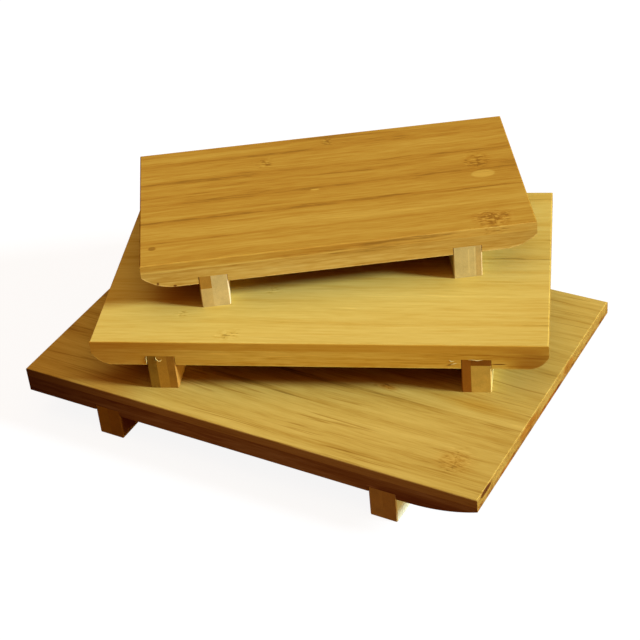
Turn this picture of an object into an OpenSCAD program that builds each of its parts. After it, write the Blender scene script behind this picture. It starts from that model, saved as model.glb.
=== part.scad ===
// Fanned stack of sushi geta boards in laminated bamboo, in millimetres.
// Each board is a plate of three glued plies on two feet, which are housed in
// its underside. The boards stand loose on each other, the largest at the
// bottom, and each one is turned further round than the one below it.

/* [Large board] */
// Length of the large board
large_length = 270; // [235:1:330]
// Depth of the large board from front to back
large_depth = 176; // [150:1:210]
// Distance from each end to the middle of its foot
large_foot_inset = 52; // [35:1:70]
// Length of the curve under its right end, for its left end is square
large_undercut_length = 38; // [16:1:43]
// Depth of the housings that its feet are glued into
large_housing = 3; // [1:0.25:7]
// Number of staves in its top ply
large_staves = 9; // [6:1:12]
// Width of the front stave of its top ply, trimmed with the board
large_front_stave_w = 16; // [8:1:24]
// Width of the rear stave of its top ply, trimmed with the board
large_rear_stave_w = 20; // [8:1:24]

/* [Medium board] */
// Length of the medium board
medium_length = 240; // [210:1:280]
// Depth of the medium board from front to back
medium_depth = 146; // [125:1:170]
// Distance from each end to the middle of its foot
medium_foot_inset = 37; // [25:1:55]
// Length of the curve under each end
medium_undercut_length = 11; // [8:1:24]
// Depth of the housings that its feet are glued into
medium_housing = 5.75; // [1:0.25:7]
// Number of staves in its top ply
medium_staves = 8; // [5:1:10]
// Width of the front stave of its top ply, trimmed with the board
medium_front_stave_w = 17; // [8:1:24]
// Width of the rear stave of its top ply, trimmed with the board
medium_rear_stave_w = 9; // [6:1:24]
// How far its centre lies to the left of the large board's centre
medium_left = 2.7; // [0:0.1:15]
// How far its centre lies behind the large board's centre
medium_back = 25.6; // [10:0.1:35]
// Angle that it is turned to the left
medium_angle = 21.3; // [0:0.1:30]

/* [Small board] */
// Length of the small board
small_length = 211; // [180:1:250]
// Depth of the small board from front to back
small_depth = 115.5; // [95:0.5:135]
// Distance from each end to the middle of its foot
small_foot_inset = 37.5; // [25:0.5:50]
// Length of the curve under each end
small_undercut_length = 17.5; // [8:0.5:24]
// Depth of the housings that its feet are glued into
small_housing = 4.25; // [1:0.25:7]
// Number of staves in its top ply
small_staves = 6; // [4:1:8]
// Width of the front stave of its top ply, trimmed with the board
small_front_stave_w = 20; // [8:1:24]
// Width of the rear stave of its top ply, trimmed with the board
small_rear_stave_w = 15.5; // [8:0.5:24]
// How far its centre lies to the left of the large board's centre
small_left = 15.8; // [0:0.1:25]
// How far its centre lies behind the large board's centre
small_back = 52.9; // [30:0.1:65]
// Angle that it is turned to the left
small_angle = 33.2; // [0:0.1:45]

/* [Plies] */
// Thickness of the top ply
top_ply_t = 5; // [4:0.25:7]
// Thickness of the core ply
core_ply_t = 5; // [4:0.25:7]
// Thickness of the bottom ply
bottom_ply_t = 5; // [4:0.25:7]
// Glue between two staves of the core and bottom plies
glue_t = 0.1; // [0.05:0.05:0.3]
// How far the underside curves up at an undercut end
undercut_rise = 7.5; // [3:0.25:9]
// Radius of the rounded edge round the top
arris_r = 0.7; // [0.4:0.1:1.6]

/* [Feet] */
// Width of a foot
foot_w = 15.5; // [10:0.5:20]
// Height of a foot below the plate
foot_h = 15.5; // [10:0.5:22]
// Size of the bevel along a foot's edges
foot_bevel = 0.5; // [0.2:0.1:1.2]

/* [Hidden] */
$fn = 96;

// How far each cutting solid runs past what it cuts
overrun = 2;

plate_t = bottom_ply_t + core_ply_t + top_ply_t;
board_h = foot_h + plate_t;

// Colours of the bamboo, as the photographed boards show it
pale_bamboo = "#cbb474";
tan_bamboo = "#b38f4c";
brown_bamboo = "#9c6a30";

// The boards from the bottom of the stack up: name, length, depth, foot inset,
// undercut length, housing depth, number of staves, widths of the front and
// rear stave, place and turn of its centre, the tones of its staves and of its
// lower plies, and its undercut ends, the left one as -1 and the right one as 1
boards = [
    ["large", large_length, large_depth, large_foot_inset, large_undercut_length,
        large_housing, large_staves, large_front_stave_w, large_rear_stave_w,
        [0, 0], 0, ["#c4963f", "#cda24b"], "#8a5a22", [1]],
    ["medium", medium_length, medium_depth, medium_foot_inset, medium_undercut_length,
        medium_housing, medium_staves, medium_front_stave_w, medium_rear_stave_w,
        [-medium_left, medium_back], medium_angle, ["#d5b254", "#dcbc5c"], "#aa7a30", [-1, 1]],
    ["small", small_length, small_depth, small_foot_inset, small_undercut_length,
        small_housing, small_staves, small_front_stave_w, small_rear_stave_w,
        [-small_left, small_back], small_angle, ["#b58330", "#bd8d36"], "#be9544", [-1, 1]]
];
board_numbers = [0 : len(boards) - 1];
function name(b) = boards[b][0];
function length(b) = boards[b][1];
function depth(b) = boards[b][2];
function foot_x(b) = length(b) / 2 - boards[b][3];
function undercut_length(b) = boards[b][4];
function housing(b) = boards[b][5];
function top_staves(b) = boards[b][6];
function front_stave_w(b) = boards[b][7];
function rear_stave_w(b) = boards[b][8];
function place(b) = boards[b][9];
function turn(b) = boards[b][10];
function stave_tones(b) = boards[b][11];
function lower_tone(b) = boards[b][12];
function undercut_ends(b) = boards[b][13];
function underside_z(b) = b * board_h + foot_h;

// The plies from the bottom up
plies = ["bottom", "core", "top"];
top_ply = len(plies) - 1;
lower_plies = [0 : top_ply - 1];
ply_zs = [0, bottom_ply_t, bottom_ply_t + core_ply_t, plate_t];

// Where the staves of the top ply begin and end, from the front edge: those
// between the trimmed front and rear ones are of one width
function full_stave_w(b) =
    (depth(b) - front_stave_w(b) - rear_stave_w(b)) / (top_staves(b) - 2);
function top_edges(b) = concat(
    [0],
    [for (i = [1 : top_staves(b) - 1]) front_stave_w(b) + (i - 1) * full_stave_w(b)],
    [depth(b)]
);

// The glue lines of a lower ply run under the staves of the top ply, at this
// share of each one's width from its front
glue_line_shares = [0.7, 0.4];
function stave_edges(b, ply) =
    let (edges = top_edges(b), count = top_staves(b))
    ply == top_ply ? edges : concat(
        [0],
        [for (i = [1 : count]) edges[i - 1] + (edges[i] - edges[i - 1]) * glue_line_shares[ply]],
        [depth(b)]
    );
function stave_count(b, ply) = len(stave_edges(b, ply)) - 1;

// Middle of the whole stack seen from above
function board_corners(b) = [
    for (side = [-0.5, 0.5]) for (end = [-0.5, 0.5])
        place(b) + [
            end * length(b) * cos(turn(b)) - side * depth(b) * sin(turn(b)),
            end * length(b) * sin(turn(b)) + side * depth(b) * cos(turn(b))
        ]
];
stack_corners = [for (b = board_numbers) each board_corners(b)];
stack_xs = [for (corner = stack_corners) corner[0]];
stack_ys = [for (corner = stack_corners) corner[1]];
stack_middle = [min(stack_xs) + max(stack_xs), min(stack_ys) + max(stack_ys)] / 2;

// Strips that each foot is glued up from: board, end, name, colour, and the
// strip's limits as shares of the foot's width from its left and of its height
// from its base
foot_strip_shares = [
    [0, -1, "large_left_foot_outer_strip", brown_bamboo, [0, 0.5], [0, 1]],
    [0, -1, "large_left_foot_inner_strip", tan_bamboo, [0.5, 1], [0, 1]],
    [0, 1, "large_right_foot_inner_strip", brown_bamboo, [0, 0.5], [0, 1]],
    [0, 1, "large_right_foot_outer_strip", tan_bamboo, [0.5, 1], [0, 1]],
    [1, -1, "medium_left_foot_outer_strip", tan_bamboo, [0, 0.34], [0, 1]],
    [1, -1, "medium_left_foot_middle_strip", pale_bamboo, [0.34, 0.7], [0, 1]],
    [1, -1, "medium_left_foot_inner_strip", tan_bamboo, [0.7, 1], [0, 1]],
    [1, 1, "medium_right_foot_inner_strip", brown_bamboo, [0, 0.32], [0, 1]],
    [1, 1, "medium_right_foot_outer_strip", pale_bamboo, [0.32, 1], [0, 0.82]],
    [1, 1, "medium_right_foot_top_strip", brown_bamboo, [0.32, 1], [0.82, 1]],
    [2, -1, "small_left_foot_outer_strip", pale_bamboo, [0, 0.42], [0, 0.6]],
    [2, -1, "small_left_foot_top_strip", brown_bamboo, [0, 0.42], [0.6, 1]],
    [2, -1, "small_left_foot_inner_strip", pale_bamboo, [0.42, 1], [0, 1]],
    [2, 1, "small_right_foot_inner_strip", pale_bamboo, [0, 0.78], [0, 1]],
    [2, 1, "small_right_foot_outer_strip", tan_bamboo, [0.78, 1], [0, 1]]
];

// The top ply's staves are nodes of their own, and each lower ply is one node
// of separate staves
function top_stave_name(b, i) = str(name(b), "_top_stave_", i);
function lower_ply_name(b, ply) = str(name(b), "_", plies[ply], "_staves");

// Upright outline of a plate of width w: flat, with its top corners rounded
module rounded_top(w) {
    translate([-w / 2, 0])
        square([w, plate_t - arris_r]);
    translate([arris_r - w / 2, 0])
        square([w - 2 * arris_r, plate_t]);
    for (side = [-1, 1])
        translate([side * (w / 2 - arris_r), plate_t - arris_r])
            circle(r = arris_r);
}

// What is cut from the plate's outline at one end, -1 or 1, outside an arc that
// leaves the underside smoothly
module undercut(l, curve_l, end) {
    curve_r = (pow(curve_l, 2) + pow(undercut_rise, 2)) / (2 * undercut_rise);
    scale([end, 1])
        translate([l / 2 - curve_l, 0])
            difference() {
                translate([0, -overrun])
                    square([curve_l + overrun, undercut_rise + overrun]);
                translate([0, curve_r])
                    circle(r = curve_r);
            }
}

// Whole plate, with the middle of its underside at the origin
module plate(b) {
    intersection() {
        rotate([90, 0, 0])
            linear_extrude(height = depth(b) + 2 * overrun, center = true)
                difference() {
                    rounded_top(length(b));
                    for (end = undercut_ends(b))
                        undercut(length(b), undercut_length(b), end);
                }
        rotate([90, 0, 90])
            linear_extrude(height = length(b) + 2 * overrun, center = true)
                rounded_top(depth(b));
    }
}

// Housings across the underside that take the feet
module housings(b) {
    for (end = [-1, 1])
        translate([end * foot_x(b) - foot_w / 2, -depth(b) / 2 - overrun, -overrun])
            cube([foot_w, depth(b) + 2 * overrun, housing(b) + overrun]);
}

// One stave of a ply, cut from the plate, with half a glue line off each glued
// side. The cutting space runs on past every outer side of the plate.
module stave(b, ply, i, gap) {
    edges = stave_edges(b, ply);
    front = i == 1 ? -overrun : edges[i - 1] + gap / 2;
    rear = i == stave_count(b, ply) ? depth(b) + overrun : edges[i] - gap / 2;
    low = ply == 0 ? -overrun : ply_zs[ply];
    high = ply == top_ply ? plate_t + overrun : ply_zs[ply + 1];
    intersection() {
        plate(b);
        translate([-length(b) / 2 - overrun, front - depth(b) / 2, low])
            cube([length(b) + 2 * overrun, rear - front, high - low]);
    }
}

// Whole foot from its base up to the bottom of its housing: its long lower
// edges and its four upright edges are bevelled
module foot(b) {
    h = foot_h + housing(b);
    half_w = foot_w / 2;
    half_d = depth(b) / 2;
    intersection() {
        rotate([90, 0, 0])
            linear_extrude(height = depth(b) + 2 * overrun, center = true)
                polygon([
                    [-half_w, foot_bevel], [foot_bevel - half_w, 0],
                    [half_w - foot_bevel, 0], [half_w, foot_bevel],
                    [half_w, h], [-half_w, h]
                ]);
        translate([0, 0, -overrun])
            linear_extrude(height = h + 2 * overrun)
                polygon([
                    [-half_w, foot_bevel - half_d], [foot_bevel - half_w, -half_d],
                    [half_w - foot_bevel, -half_d], [half_w, foot_bevel - half_d],
                    [half_w, half_d - foot_bevel], [half_w - foot_bevel, half_d],
                    [foot_bevel - half_w, half_d], [-half_w, half_d - foot_bevel]
                ]);
    }
}

// Moves a board from its own frame to its place in the stack
module in_stack(b) {
    translate(place(b) - stack_middle)
        translate([0, 0, underside_z(b)])
            rotate([0, 0, turn(b)])
                children();
}

module top_stave(b, i) {
    color(stave_tones(b)[i % 2])
        in_stack(b)
            stave(b, top_ply, i, 0);
}

module lower_ply(b, ply) {
    color(lower_tone(b))
        in_stack(b)
            difference() {
                for (i = [1 : stave_count(b, ply)])
                    stave(b, ply, i, glue_t);
                housings(b);
            }
}

// A strip that reaches the foot's side, base or top is cut by a space that
// runs on past it
module foot_strip(b, end, tone, across, up) {
    h = foot_h + housing(b);
    left = across[0] == 0 ? -foot_w / 2 - overrun : (across[0] - 0.5) * foot_w;
    right = across[1] == 1 ? foot_w / 2 + overrun : (across[1] - 0.5) * foot_w;
    low = up[0] == 0 ? -overrun : up[0] * h;
    high = up[1] == 1 ? h + overrun : up[1] * h;
    color(tone)
        in_stack(b)
            translate([end * foot_x(b), 0, -foot_h])
                intersection() {
                    foot(b);
                    translate([left, -depth(b) / 2 - overrun, low])
                        cube([right - left, depth(b) + 2 * overrun, high - low]);
                }
}

for (b = board_numbers)
    for (i = [1 : stave_count(b, top_ply)])
        top_stave(b, i);
for (b = board_numbers)
    for (ply = lower_plies)
        lower_ply(b, ply);
for (s = foot_strip_shares)
    foot_strip(s[0], s[1], s[3], s[4], s[5]);
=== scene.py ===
"""Fanned stack of three bamboo sushi geta boards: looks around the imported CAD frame."""

import math

import bpy
from mathutils import Matrix, Vector


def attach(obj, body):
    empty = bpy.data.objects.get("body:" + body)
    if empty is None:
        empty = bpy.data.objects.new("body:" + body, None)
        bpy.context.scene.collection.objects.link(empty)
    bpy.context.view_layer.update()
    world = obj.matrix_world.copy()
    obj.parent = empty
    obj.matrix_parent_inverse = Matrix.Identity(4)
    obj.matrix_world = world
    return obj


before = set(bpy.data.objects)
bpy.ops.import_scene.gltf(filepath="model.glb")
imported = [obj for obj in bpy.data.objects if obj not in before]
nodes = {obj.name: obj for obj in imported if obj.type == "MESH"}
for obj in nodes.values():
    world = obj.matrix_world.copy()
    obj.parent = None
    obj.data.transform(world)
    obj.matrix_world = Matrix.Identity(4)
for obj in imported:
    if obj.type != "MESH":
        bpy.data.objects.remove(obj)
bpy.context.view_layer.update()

scene = bpy.context.scene
MM = 0.001

# Boards, in millimetres in the row frame: the middle of each board seen from
# above, its turn, the height of its underside, its stave layout, and how long
# its undercut ends are
BOARDS = {
    "large": dict(
        centre=(2.7, -35.4955), turn=0.0, underside=15.5, length=270.0, depth=176.0,
        staves=9, front_w=16.0, rear_w=20.0, undercut=38.0, seed=11.0,
    ),
    "medium": dict(
        centre=(0.0, -9.8955), turn=21.3, underside=46.0, length=240.0, depth=146.0,
        staves=8, front_w=17.0, rear_w=9.0, undercut=11.0, seed=37.0,
    ),
    "small": dict(
        centre=(-13.1, 17.4045), turn=33.2, underside=76.5, length=211.0, depth=115.5,
        staves=6, front_w=20.0, rear_w=15.5, undercut=17.5, seed=71.0,
    ),
}
UNDERCUT_RISE = 7.5
for b in BOARDS.values():
    b["full_w"] = (b["depth"] - b["front_w"] - b["rear_w"]) / (b["staves"] - 2)
    b["undercut_r"] = (b["undercut"] ** 2 + UNDERCUT_RISE ** 2) / (2 * UNDERCUT_RISE)

# Camera at the photograph's viewing angle: radians, metres and a lens in
# millimetres
AZIMUTH, ELEVATION, ROLL = 0.5553097, 0.6297600, 0.1003662
DISTANCE, LENS = 0.905825, 94.027
TARGET = Vector((7.7927, -39.7756, 45.0)) * MM

back = Vector((
    math.sin(AZIMUTH) * math.cos(ELEVATION),
    -math.cos(AZIMUTH) * math.cos(ELEVATION),
    math.sin(ELEVATION),
))
right = (-back).cross(Vector((0, 0, 1))).normalized()
down = (-back).cross(right)
cam_x = right * math.cos(ROLL) + down * math.sin(ROLL)
cam_down = down * math.cos(ROLL) - right * math.sin(ROLL)
cam = bpy.data.objects.new("camera", bpy.data.cameras.new("camera"))
scene.collection.objects.link(cam)
cam.data.sensor_width = 36.0
cam.data.sensor_fit = "HORIZONTAL"
cam.data.lens = LENS
cam.data.clip_start, cam.data.clip_end = 0.05, 50.0
cam.matrix_world = Matrix.Translation(TARGET + back * DISTANCE) @ Matrix(
    (cam_x, -cam_down, back)
).transposed().to_4x4()
scene.camera = cam

# Light: one low soft key from the right and a little behind, and a pale card
# beside the stack, at its own height, which lights what faces right. Each has
# its azimuth, elevation and spread in degrees, then its colour
KEY_AZIMUTH, KEY_ELEVATION, KEY_SPREAD = 15.0, 23.0, 11.0
KEY = (1.32, 1.62, 1.90)
CARD_AZIMUTH, CARD_ELEVATION, CARD_SPREAD = 1.0, 0.5, 4.0
CARD = (0.55, 0.41, 0.15)
# The dome is dim at the horizon, orange halfway up and nearly white overhead:
# heights from 0 to 1, with the colour there
DOME = (
    (0.40, (0.082, 0.016, 0.018)), (0.75, (0.74, 0.27, 0.04)), (1.0, (1.02, 0.96, 0.66)),
)

scene.view_settings.view_transform = "Standard"
scene.view_settings.look = "None"


def soft_light(name, azimuth, elevation, spread, colour):
    lamp = bpy.data.objects.new(name, bpy.data.lights.new(name, "SUN"))
    scene.collection.objects.link(lamp)
    lamp.data.energy = math.pi
    lamp.data.color = colour
    lamp.data.angle = math.radians(spread)
    az, el = math.radians(azimuth), math.radians(elevation)
    towards = Vector((math.cos(az) * math.cos(el), math.sin(az) * math.cos(el), math.sin(el)))
    lamp.rotation_mode = "QUATERNION"
    lamp.rotation_quaternion = (-towards).to_track_quat("-Z", "Y")
    lamp.location = towards


soft_light("key", KEY_AZIMUTH, KEY_ELEVATION, KEY_SPREAD, KEY)
soft_light("card", CARD_AZIMUTH, CARD_ELEVATION, CARD_SPREAD, CARD)


class Tree:
    """A material or world under construction, with one method per kind of node used here."""

    def __init__(self, name, kind=bpy.data.materials):
        self.material = kind.new(name)
        self.material.use_nodes = True
        self.tree = self.material.node_tree
        self.tree.nodes.clear()

    def node(self, kind, inputs=(), out=0, **props):
        n = self.tree.nodes.new(kind)
        for setting, value in props.items():
            setattr(n, setting, value)
        for socket, value in dict(inputs).items():
            if isinstance(value, bpy.types.NodeSocket):
                self.tree.links.new(value, n.inputs[socket])
            elif value is not None:
                n.inputs[socket].default_value = value
        return n.outputs[out] if n.outputs else n

    def math(self, op, a, b=None):
        return self.node("ShaderNodeMath", {0: a, 1: b}, operation=op)

    def add(self, a, b):
        return self.math("ADD", a, b)

    def mul(self, a, b):
        return self.math("MULTIPLY", a, b)

    def sub(self, a, b):
        return self.math("SUBTRACT", a, b)

    def least(self, a, b):
        return self.math("MINIMUM", a, b)

    def most(self, a, b):
        return self.math("MAXIMUM", a, b)

    def size(self, a):
        return self.math("ABSOLUTE", a)

    def step(self, value, lo, hi, out_lo=0.0, out_hi=1.0):
        return self.node(
            "ShaderNodeMapRange",
            {0: value, 1: lo, 2: hi, 3: out_lo, 4: out_hi},
            interpolation_type="SMOOTHSTEP",
        )

    def combine(self, x, y, z):
        return self.node("ShaderNodeCombineXYZ", {0: x, 1: y, 2: z})

    def split(self, vector):
        n = self.tree.nodes.new("ShaderNodeSeparateXYZ")
        self.tree.links.new(vector, n.inputs[0])
        return n.outputs[0], n.outputs[1], n.outputs[2]

    def stretch(self, vector, scale, offset=(0.0, 0.0, 0.0)):
        return self.node(
            "ShaderNodeMapping", {"Vector": vector, "Scale": scale, "Location": offset}
        )

    def noise(self, vector, cell, detail=2.0, roughness=0.5):
        """Noise about 0, with cells of this size in millimetres along x, y and z."""
        scaled = self.stretch(vector, tuple(1.0 / c for c in cell))
        n = self.node(
            "ShaderNodeTexNoise",
            {"Vector": scaled, "Scale": 1.0, "Detail": detail, "Roughness": roughness},
        )
        return self.sub(n, 0.5)

    def ramp(self, value, stops):
        n = self.tree.nodes.new("ShaderNodeValToRGB")
        elements = n.color_ramp.elements
        for element, (at, colour) in zip(elements, (stops[0], stops[-1])):
            element.position, element.color = at, (*colour, 1)
        for at, colour in stops[1:-1]:
            elements.new(at).color = (*colour, 1)
        self.tree.links.new(value, n.inputs[0])
        return n.outputs[0]

    def blend(self, factor, a, b, kind="MIX"):
        a, b = (c if isinstance(c, bpy.types.NodeSocket) else (*c, 1) for c in (a, b))
        return self.node(
            "ShaderNodeMix", {0: factor, 6: a, 7: b}, out=2,
            data_type="RGBA", blend_type=kind, clamp_factor=True,
        )

    def tint(self, factor, colour, by):
        """The colour, multiplied by another one as far as the factor says."""
        return self.blend(factor, colour, by, "MULTIPLY")


t = Tree("dome", bpy.data.worlds)
scene.world = t.material
height = t.split(t.node("ShaderNodeTexCoord", out=0))[2]
glow = t.node("ShaderNodeBackground", {"Color": t.ramp(height, DOME)})
seen = t.node("ShaderNodeBackground", {"Color": (1, 1, 1, 1)})
by_camera = t.node("ShaderNodeLightPath")
t.node("ShaderNodeOutputWorld", {
    "Surface": t.node("ShaderNodeMixShader", {0: by_camera, 1: glow, 2: seen})
})


def linear(v):
    """An sRGB value from 0 to 255 as a linear one from 0 to 1."""
    v /= 255.0
    return v / 12.92 if v <= 0.04045 else ((v + 0.055) / 1.055) ** 2.4


def dome_at(height, channel):
    """The dome's red, green or blue at a height from 0 to 1, as its ramp gives it."""
    for (low, a), (high, c) in zip(DOME, DOME[1:]):
        if height < high:
            share = max(0.0, (height - low) / (high - low))
            return a[channel] + (c[channel] - a[channel]) * share


# What the key and the dome together put on a level surface, the dome summed
# over bands of height
BANDS = [(i + 0.5) / 200 for i in range(200)]
TOP_LIGHT = [
    KEY[k] * math.sin(math.radians(KEY_ELEVATION))
    + sum(2 * h * dome_at(h, k) for h in BANDS) / len(BANDS)
    for k in range(3)
]
BRIGHTEST = 0.95


def wood(r, g, b, gain=1.0):
    """Base colour that a level surface needs to show as this sRGB value."""
    return tuple(min(BRIGHTEST, gain * linear(v) / e) for v, e in zip((r, g, b), TOP_LIGHT))


def local_mm(t, b):
    """The board's own millimetres: x along it, y to its back, z up from its underside."""
    return t.node(
        "ShaderNodeMapping",
        {
            "Vector": t.node("ShaderNodeTexCoord", out=3),
            "Location": (b["centre"][0] * MM, b["centre"][1] * MM, b["underside"] * MM),
            "Rotation": (0, 0, math.radians(b["turn"])),
            "Scale": (MM, MM, MM),
        },
        vector_type="TEXTURE",
    )


def facing(t, b):
    """How far the surface faces along the board's own x and y, 0 to 1, and up, -1 to 1."""
    normal = t.node("ShaderNodeTexCoord", out=1)
    turned = t.node(
        "ShaderNodeMapping",
        {"Vector": normal, "Rotation": (0, 0, math.radians(b["turn"]))},
        vector_type="TEXTURE",
    )
    x, y, up = t.split(turned)
    return t.size(x), t.size(y), up


def spot(t, p, at, size, soft):
    """1 inside an ellipsoid, 0 outside, over a soft edge that is a share of its size."""
    scaled = t.stretch(
        p, tuple(1.0 / s for s in size), tuple(-a / s for a, s in zip(at, size))
    )
    length = t.node("ShaderNodeVectorMath", {0: scaled}, out=1, operation="LENGTH")
    return t.step(length, 1.0 - soft, 1.0, 1.0, 0.0)


BUMP_DEPTH = 0.05 * MM
SPECULAR = 0.12


def surface(t, colour, roughness, height, relief):
    normal = t.node(
        "ShaderNodeBump", {"Strength": 1.0, "Distance": relief * BUMP_DEPTH, "Height": height}
    )
    shader = t.node(
        "ShaderNodeBsdfPrincipled",
        {"Base Color": colour, "Roughness": roughness, "Normal": normal,
         "Specular IOR Level": SPECULAR},
    )
    t.node("ShaderNodeOutputMaterial", {"Surface": shader})
    return t.material


# A surface counts as front, or as side, between these shares of facing that way
SQUARE_ON = (0.55, 0.85)
# What the wood's colour is multiplied by on the ends and on the undersides.
# The dark of the undersides is painted shade: it keeps the gaps between the boards deep
END = (0.62, 0.52, 0.45)
UNDERSIDE_SHADE = (0.46, 0.20, 0.20)


def bamboo(name, b, tones, band=1.0, fine=1.0, lines=1.0, joint=1.0,
           line_tone=(0.80, 0.72, 0.55), front=(1, 1, 1), rim=None, knuckles=(), marks=(),
           patches=(), front_patches=(), end_patches=(), relief=1.0, shift=0.0):
    """Bamboo staves glued side by side, with their fibres along the board.

    tones: dark, middle and light; band, fine, lines and joint: strength of the broad tones,
    of the short fibres, of the thin dark lines and of the glue joints; line_tone, front, rim:
    what the colour is multiplied by on those lines, on the front and back edges and on the
    lower front edge, which is partly ragged pale fibres and partly a painted highlight;
    knuckles: place along and across, half sizes and strength; marks: place, half sizes, how
    much lighter, softness; patches, front_patches, end_patches: place, half sizes, multiplier
    and softness, the last two on the front edge or the ends only; relief: how deep the fibres
    are; shift: how far its joints lie from the top ply's."""
    t = Tree(name)
    p = local_mm(t, b)
    x, y, z = t.split(p)
    face_x, face_y, up = facing(t, b)
    on_front = t.step(face_y, *SQUARE_ON)

    # which stave, and how far from the nearest joint
    u = t.math("DIVIDE", t.add(y, b["depth"] / 2 - b["front_w"] + shift), b["full_w"])
    index = t.math("FLOOR", u)
    share = t.sub(u, index)
    to_joint = t.mul(t.least(share, t.sub(1.0, share)), b["full_w"])
    own = t.node("ShaderNodeTexWhiteNoise", {"W": t.add(index, b["seed"] + 0.31)},
                 noise_dimensions="1D")

    # the fibres wander slowly, and each stave has its own
    wander = t.noise(p, (75, 30, 30), 1.0)
    fibre = t.combine(
        t.add(x, t.mul(own, 900.0)), t.add(t.add(y, t.mul(wander, 5.0)), t.mul(own, 61.0)), z
    )
    broad = t.noise(fibre, (130, 7, 7), 2.0)
    short = t.noise(fibre, (13, 0.9, 0.9), 2.0, 0.6)
    long = t.noise(fibre, (55, 1.6, 1.6), 2.0, 0.6)
    value = t.add(0.5, t.mul(broad, 1.5 * band))
    value = t.add(value, t.mul(short, 1.0 * fine))
    value = t.add(value, t.mul(long, 0.7 * fine))
    value = t.add(value, t.mul(t.sub(own, 0.5), 0.3 * band))

    # darker towards the joints, by a changing amount along them
    along = t.noise(t.combine(x, t.mul(index, 220.0), b["seed"]), (60, 60, 60))
    wide = t.step(t.add(to_joint, t.mul(wander, 5.0)), 0.2, 5.0, 1.0, 0.0)
    value = t.sub(value, t.mul(t.mul(wide, t.step(along, -0.2, 0.2, 0.25, 1.0)), 0.42 * joint))

    # knuckles: torn short fibres, dark and pale, round a thin bent line
    rough = None
    if knuckles:
        grit = t.noise(p, (4.2, 1.0, 1.0), 2.0, 0.6)
        jog = t.mul(t.noise(p, (5, 5, 5), 1.0), 9.0)
        bent = t.combine(t.add(x, jog), t.add(y, t.mul(jog, 0.5)), z)
        for kx, ky, rx, ry, depth in knuckles:
            patch = spot(t, bent, (kx, ky, 0), (rx, ry, 400), 0.8)
            line = spot(t, bent, (kx, ky, 0), (1.0, 0.8 * ry, 400), 0.8)
            value = t.add(value, t.mul(t.mul(patch, t.sub(grit, 0.03)), 3.4 * depth))
            value = t.sub(value, t.mul(line, 0.30 * depth))
            rough = patch if rough is None else t.most(rough, patch)
    for at, size, amount, soft in marks:
        value = t.add(value, t.mul(spot(t, p, at, size, soft), amount))

    dark, middle, light = tones
    colour = t.ramp(
        value,
        [(0.0, tuple(0.70 * c for c in dark)), (0.16, dark), (0.5, middle), (0.84, light),
         (1.0, tuple(min(1.0, 1.1 * c) for c in light))],
    )

    # thin dark lines that come and go
    line = t.noise(fibre, (170, 3.6, 3.6), 1.0)
    some = t.noise(fibre, (45, 5, 5), 1.0)
    thin = t.mul(t.step(t.size(line), 0.006, 0.032, 1.0, 0.0), t.step(some, -0.01, 0.08))
    glue = t.mul(t.step(to_joint, 0.05, 0.45, 1.0, 0.0), t.step(along, -0.12, 0.15))
    thin = t.most(t.mul(thin, lines), t.mul(glue, 0.8 * joint))
    colour = t.tint(thin, colour, line_tone)
    for at, size, tone, soft in patches:
        colour = t.tint(spot(t, p, at, size, soft), colour, tone)

    colour = t.tint(on_front, colour, front)
    for at, size, tone, soft in front_patches:
        colour = t.tint(t.mul(on_front, spot(t, p, at, size, soft)), colour, tone)
    # a pale line along the lower front edge: partly ragged pale fibres, partly a painted highlight
    # where that edge catches the light
    if rim:
        # measured from the underside, which curves up along the undercut
        r = b["undercut_r"]
        past = t.most(t.sub(t.size(x), b["length"] / 2 - b["undercut"]), 0.0)
        rise = t.sub(r, t.math("SQRT", t.sub(r * r, t.mul(past, past))))
        above = t.add(t.sub(z, rise), t.mul(t.noise(p, (3, 3, 3), 2.0), 1.6))
        ragged_and_highlit_edge = t.step(above, 0.3, 0.9, 1.0, 0.0)
        colour = t.tint(t.mul(ragged_and_highlit_edge, on_front), colour, rim)
    # the ends show the cut bundles as dots
    dots = t.step(t.noise(fibre, (30, 0.5, 0.5), 2.0, 0.6), -0.15, 0.12, 0.74, 1.12)
    ends = t.tint(1.0, t.tint(1.0, colour, END), t.combine(dots, dots, dots))
    for at, size, tone, soft in end_patches:
        ends = t.tint(spot(t, p, at, size, soft), ends, tone)
    # the end colour also reaches over the rounded edges between top and ends: partly end grain,
    # partly painted shade that dulls the highlight the key puts on those edges
    colour = t.blend(t.step(face_x, 0.45, 0.68), colour, ends)
    # painted shade: faces that look down are darkened so the gaps between the boards stay deep
    colour = t.tint(t.step(up, -0.8, -0.3, 1.0, 0.0), colour, UNDERSIDE_SHADE)

    height = t.sub(t.add(t.mul(short, 0.6), t.mul(long, 0.5)), t.mul(thin, 0.25))
    if rough is not None:
        height = t.add(height, t.mul(t.mul(rough, grit), 1.4))
    return surface(t, colour, t.step(long, -0.2, 0.2, 0.56, 0.46), height, relief)


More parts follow.
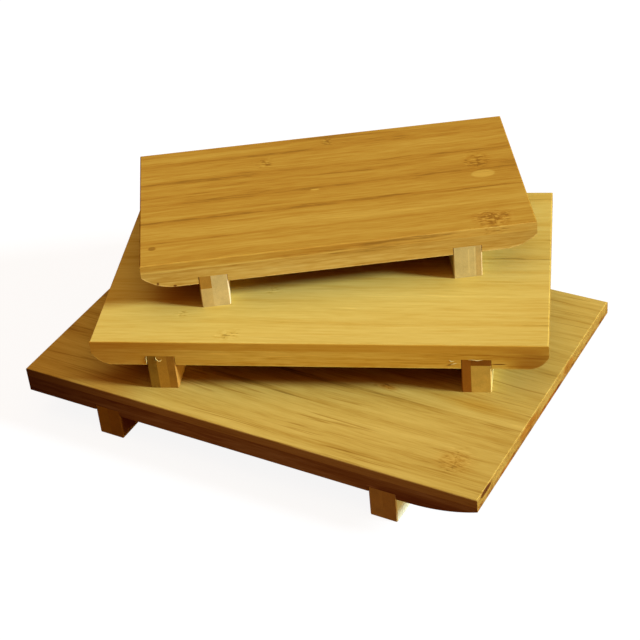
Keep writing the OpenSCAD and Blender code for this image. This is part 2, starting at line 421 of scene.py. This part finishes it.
def foot_bamboo(name, b, tones, seed, front=(1, 1, 1), side=(1, 1, 1), seams=()):
    """A strip of a foot: its fibres run from front to back, so its front shows end grain.

    front, side: what the colour is multiplied by there; seams: thin pale growth lines up the
    front, each as a place along the board and the heights that it runs between."""
    t = Tree(name)
    p = local_mm(t, b)
    x, y, z = t.split(p)
    face_x, face_y, _ = facing(t, b)
    own = t.combine(t.add(x, seed * 13.7), t.add(y, seed * 71.0), t.add(z, seed * 5.1))
    broad = t.noise(own, (5, 90, 5))
    streaks = t.noise(own, (0.9, 30, 0.9), 3.0, 0.6)
    dots = t.noise(own, (0.55, 3, 0.55), 2.0, 0.6)
    value = t.add(0.5, t.mul(broad, 1.2))
    value = t.add(value, t.mul(streaks, 0.7))
    value = t.add(value, t.mul(dots, 0.35))
    for at, low, high in seams:
        line = t.step(t.size(t.sub(x, at)), 0.15, 0.55, 1.0, 0.0)
        span = t.mul(t.step(z, low, low + 0.4), t.step(z, high - 0.4, high, 1.0, 0.0))
        value = t.add(value, t.mul(t.mul(line, span), 0.45))
    dark, middle, light = tones
    colour = t.ramp(value, [(0.0, dark), (0.5, middle), (1.0, light)])
    colour = t.tint(t.step(face_y, *SQUARE_ON), colour, front)
    colour = t.tint(t.step(face_x, *SQUARE_ON), colour, side)
    # the planed corners are paler: partly wear, partly a painted highlight where their bevels
    # catch the light
    worn_and_highlight = t.mul(t.step(t.least(face_x, face_y), 0.4, 0.6), 0.7)
    colour = t.blend(worn_and_highlight, colour, (light[0], light[1], min(BRIGHTEST, 1.5 * light[2])))
    return surface(t, colour, t.step(dots, -0.2, 0.2, 0.6, 0.48), t.add(streaks, dots), 1.2)


def dress(name, material):
    mesh = nodes[name].data
    mesh.materials.clear()
    mesh.materials.append(material)


TOPS = {
    "large": dict(
        tones=(wood(185, 142, 55), wood(201, 162, 72), wood(211, 174, 83)),
        band=0.9, fine=0.85, lines=0.7, joint=0.4, relief=1.5,
        front=(1.06, 1.15, 1.5), line_tone=(0.66, 0.54, 0.34),
        knuckles=((113.4, -65, 13, 14, 0.8), (56, -26, 9, 4.5, 1.2)),
        patches=(((56, -26, 15), (9, 3.5, 3), (0.86, 0.62, 0.35), 0.9),
                 # painted shade: this browner patch is the soft edge of the medium board's shadow,
                 # at the front left of the top
                 ((-84, -83, 15), (30, 15, 3), (0.80, 0.64, 0.46), 0.9),
                 ((104, -22, 15), (32, 7, 3), (0.97, 0.88, 0.66), 0.9),
                 ((113, -66, 15), (15, 12, 3), (0.96, 0.86, 0.74), 0.9)),
        front_patches=(((-160, -88, 10), (130, 9, 40), (0.32, 0.23, 0.22), 0.9),),
        end_patches=(((135, -77.5, 13.4), (4, 8, 1.9), (0.30, 0.16, 0.12), 0.4),
                     ((135, -24, 12), (4, 16, 4), (0.86, 0.60, 0.35), 0.5),
                     ((135, 30, 12), (4, 10, 4), (0.88, 0.66, 0.45), 0.5)),
    ),
    "medium": dict(
        tones=(wood(209, 165, 67), wood(218, 180, 83), wood(225, 190, 94)),
        band=0.8, fine=0.9, lines=0.30, joint=0.3, relief=0.7,
        front=(1.0, 0.83, 0.51),
        knuckles=((-47, -66, 9, 7, 1.0), (-28.5, -25, 8, 6, 0.8), (-75.5, -48, 7, 5, 0.8)),
        front_patches=(((-130, -73, 8), (90, 9, 40), (0.84, 0.70, 0.58), 0.9),
                       ((108, -73, 9), (17, 4, 6), (0.84, 0.74, 0.66), 0.8)),
    ),
    "small": dict(
        tones=(wood(180, 125, 38), wood(192, 142, 49), wood(202, 156, 61)),
        band=0.8, fine=0.95, lines=0.35, joint=0.62, relief=0.6, line_tone=(0.84, 0.72, 0.50),
        front=(1.27, 1.55, 2.8),
        knuckles=((83.5, -49.5, 14, 11, 2.2), (84, 11, 10, 12, 1.1),
                  (-33.8, 34.4, 7, 7, 1.3), (2.8, 49.4, 6, 6, 1.1)),
        patches=(((84, 11, 15), (11, 13, 3), (0.98, 0.93, 0.84), 0.7),
                 ((83.5, -49.5, 15), (15, 11, 3), (0.98, 0.92, 0.9), 0.7)),
        marks=(((85.5, -3.6, 15), (7.4, 4.4, 3), 0.55, 0.25),
               ((-98.8, -42.0, 15), (2.6, 2.2, 3), -0.55, 0.4),
               ((-8.0, -0.6, 15), (3.2, 1.0, 3), 0.8, 0.5)),
        front_patches=(((-55, -57.5, 13.5), (110, 4, 3.6), (0.80, 0.68, 0.46), 0.5),),
    ),
}
LOWERS = {
    "large": dict(
        tones=(wood(160, 105, 40), wood(185, 138, 60), wood(205, 165, 85)),
        front=(0.92, 0.99, 1.4), band=1.0, fine=1.0, lines=0.7, joint=0.8,
        line_tone=(0.7, 0.5, 0.4),
        front_patches=(((-160, -88, 5), (130, 9, 40), (0.32, 0.23, 0.22), 0.9),
                       ((104, -88, 3), (42, 4, 4.5), (0.72, 0.58, 0.6), 0.5),
                       ((77.5, -88, 3.7), (4.5, 4, 0.7), (1.7, 2.1, 2.9), 0.8)),
        end_patches=(((135, 2, 8), (4, 22, 6), (0.86, 0.60, 0.35), 0.5),
                     ((135, -52, 8), (4, 12, 6), (0.88, 0.66, 0.45), 0.5)),
    ),
    "medium": dict(
        tones=(wood(185, 135, 50), wood(210, 168, 72), wood(222, 188, 95)),
        front=(1.10, 1.01, 0.74), band=0.8, fine=1.0, lines=0.6, joint=0.6,
        line_tone=(0.78, 0.66, 0.45), rim=(1.15, 1.35, 1.9),
        front_patches=(((-130, -73, 8), (90, 9, 40), (0.84, 0.70, 0.58), 0.9),
                       # painted shadow: this thin dark line beside the right foot is the shade
                       # under a shallow recess in the underside, which the shape lacks
                       ((94.6, -73, 3.0), (4.6, 4, 0.42), (0.22, 0.12, 0.10), 0.5),
                       ((94.5, -73, 0.8), (6.5, 4, 2.6), (1.10, 1.22, 1.5), 0.4),
                       ((112, -73, 3.0), (16, 4, 9), (0.68, 0.54, 0.42), 0.8)),
    ),
    "small": dict(
        tones=(wood(180, 132, 52), wood(196, 152, 70), wood(208, 170, 90)),
        front=(1.01, 1.03, 1.02), band=0.8, fine=1.0, lines=0.5, joint=0.6,
        rim=(1.25, 1.38, 1.9),
        front_patches=(((-97.3, -57.75, 2.9), (0.9, 4, 1.2), (0.34, 0.22, 0.16), 0.6),
                       ((-88.4, -57.75, 0.6), (1.3, 4, 0.9), (0.34, 0.22, 0.16), 0.6)),
    ),
}
# How far the joints of the lower plies lie from the top ply's, in staves
PLY_SHIFTS = {"bottom": -0.7, "core": -0.4}
for size, b in BOARDS.items():
    top = bamboo(f"{size}_face_bamboo", b, **TOPS[size])
    for i in range(1, b["staves"] + 1):
        dress(f"{size}_top_stave_{i}", top)
    for ply, shift in PLY_SHIFTS.items():
        lower = bamboo(f"{size}_{ply}_bamboo", b, shift=shift * b["full_w"], **LOWERS[size])
        dress(f"{size}_{ply}_staves", lower)

# The middle tone of each foot strip, as sRGB, and what differs on its front and
# its side. Its dark and light tones are these shares of the middle one
STRIP_GAINS = (0.82, 1.0, 1.18)
STRIPS = {
    "large_left_foot_outer_strip": ((176, 130, 41), dict(front=(1.12, 1.28, 1.3))),
    "large_left_foot_inner_strip": ((166, 118, 38), dict(front=(1.12, 1.28, 1.3))),
    "large_right_foot_inner_strip": ((198, 158, 64), dict(front=(1.35, 1.6, 2.4))),
    "large_right_foot_outer_strip": (
        (194, 152, 60), dict(front=(1.35, 1.6, 2.4), side=(1.35, 2.05, 9.5))),
    "medium_left_foot_outer_strip": ((144, 105, 32), dict()),
    "medium_left_foot_middle_strip": ((185, 134, 46), dict()),
    "medium_left_foot_inner_strip": ((165, 114, 37), dict(side=(1.1, 1.1, 1.6))),
    "medium_right_foot_inner_strip": ((157, 98, 28), dict()),
    "medium_right_foot_outer_strip": ((214, 175, 81), dict(side=(0.80, 0.92, 1.5))),
    "medium_right_foot_top_strip": ((142, 87, 25), dict()),
    "small_left_foot_outer_strip": ((196, 163, 97), dict()),
    "small_left_foot_top_strip": ((164, 116, 42), dict()),
    "small_left_foot_inner_strip": ((202, 173, 111), dict(side=(1.0, 1.0, 1.2))),
    "small_right_foot_inner_strip": (
        (198, 171, 108), dict(seams=((68.5, -13, 2.5), (71.8, -15, 3.5)))),
    "small_right_foot_outer_strip": ((191, 156, 90), dict(side=(0.85, 0.94, 1.1))),
}
for k, (name, (middle, looks)) in enumerate(STRIPS.items()):
    tones = [wood(*middle, gain) for gain in STRIP_GAINS]
    board = BOARDS[name.split("_")[0]]
    dress(name, foot_bamboo(f"{name}_bamboo", board, tones, seed=1.0 + k, **looks))

# Splinters torn up where the medium board's housings were cut: each a row of
# points on the front edge, as x and z on the board and how far it stands out
# there, and then its greatest half width
SPLINTER_STEPS = 10
SPLINTER_RIDGE = 0.6
SPLINTER_ROOT = 0.15
SPLINTERS = {
    "medium_left_foot_upright_splinter": (
        ((-91.0, 0.3, 0.1), (-90.7, 2.2, 0.3), (-90.8, 4.2, 0.4), (-90.2, 5.9, 0.15)), 0.32),
    "medium_left_foot_curled_splinter": (
        ((-85.8, 5.3, 0.1), (-85.3, 3.8, 0.5), (-84.2, 2.8, 0.8), (-83.0, 2.9, 0.7),
         (-82.3, 4.0, 0.3)), 0.36),
    "medium_right_foot_long_splinter": (
        ((67.6, 1.6, 0.1), (69.4, 2.2, 0.4), (71.2, 3.2, 0.5), (73.2, 3.4, 0.2)), 0.34),
    "medium_right_foot_short_splinter": (
        ((69.0, 5.4, 0.1), (70.2, 4.7, 0.4), (71.8, 4.9, 0.2)), 0.30),
    "medium_right_foot_top_splinter": (
        ((78.5, 5.6, 0.1), (81.0, 5.9, 0.4), (83.6, 5.5, 0.5), (86.4, 5.8, 0.15)), 0.28),
}


def splinter(name, b, points, half):
    """A three-sided flake of bamboo lying along these points, pointed at both ends.

    Its flat side lies SPLINTER_ROOT nearer the board than the points, and its ridge stands
    out from that side by SPLINTER_RIDGE of its half width."""
    count = SPLINTER_STEPS
    turn = Matrix.Rotation(math.radians(b["turn"]), 3, "Z")
    middle = Vector((b["centre"][0], b["centre"][1], b["underside"]))
    front_edge = -b["depth"] / 2
    verts = []
    for i in range(count + 1):
        # where it lies, which way it runs, and its half width there
        s = i / count * (len(points) - 1)
        k = min(int(s), len(points) - 2)
        f = s - k
        x, z, out = (a + (c - a) * f for a, c in zip(points[k], points[k + 1]))
        dx, dz = (points[k + 1][j] - points[k][j] for j in (0, 1))
        reach = math.hypot(dx, dz)
        nx, nz = -dz / reach, dx / reach
        w = half * max(0.08, math.sin(math.pi * i / count) ** 0.7)
        for side, lift in ((-1, 0.0), (1, 0.0), (0, 1.0)):
            y = front_edge - out - lift * SPLINTER_RIDGE * w + SPLINTER_ROOT
            corner = Vector((x + side * w * nx, y, z + side * w * nz))
            verts.append((middle + turn @ corner) * MM)
    faces = [(0, 2, 1), (3 * count, 3 * count + 1, 3 * count + 2)]
    for i in range(count):
        for a, c in ((0, 1), (1, 2), (2, 0)):
            faces.append((3 * i + a, 3 * i + c, 3 * i + 3 + c, 3 * i + 3 + a))
    mesh = bpy.data.meshes.new(name)
    mesh.from_pydata(verts, [], faces)
    mesh.update()
    piece = bpy.data.objects.new(name, mesh)
    scene.collection.objects.link(piece)
    return piece


flake = bamboo("medium_splinter_bamboo", BOARDS["medium"],
               tones=(wood(205, 170, 90), wood(232, 205, 130), wood(240, 218, 150)))
for name, (points, half) in SPLINTERS.items():
    piece = splinter(name, BOARDS["medium"], points, half)
    piece.data.materials.append(flake)
    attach(piece, "medium_board")

# Floor, bright enough to stay white
FLOOR_SIZE = 8.0
bpy.ops.mesh.primitive_plane_add(size=FLOOR_SIZE, location=(0, 0, 0))
floor = bpy.context.object
floor.name = "floor"
floor.visible_diffuse = False
floor.visible_glossy = False
floor.visible_shadow = False
t = Tree("pale_floor")
paper = t.node("ShaderNodeBsdfDiffuse", {"Color": (0.15, 0.155, 0.16, 1)})
lift = t.node("ShaderNodeEmission", {"Color": (1, 1, 1, 1), "Strength": 0.90})
t.node("ShaderNodeOutputMaterial", {"Surface": t.node("ShaderNodeAddShader", {0: paper, 1: lift})})
floor.data.materials.append(t.material)
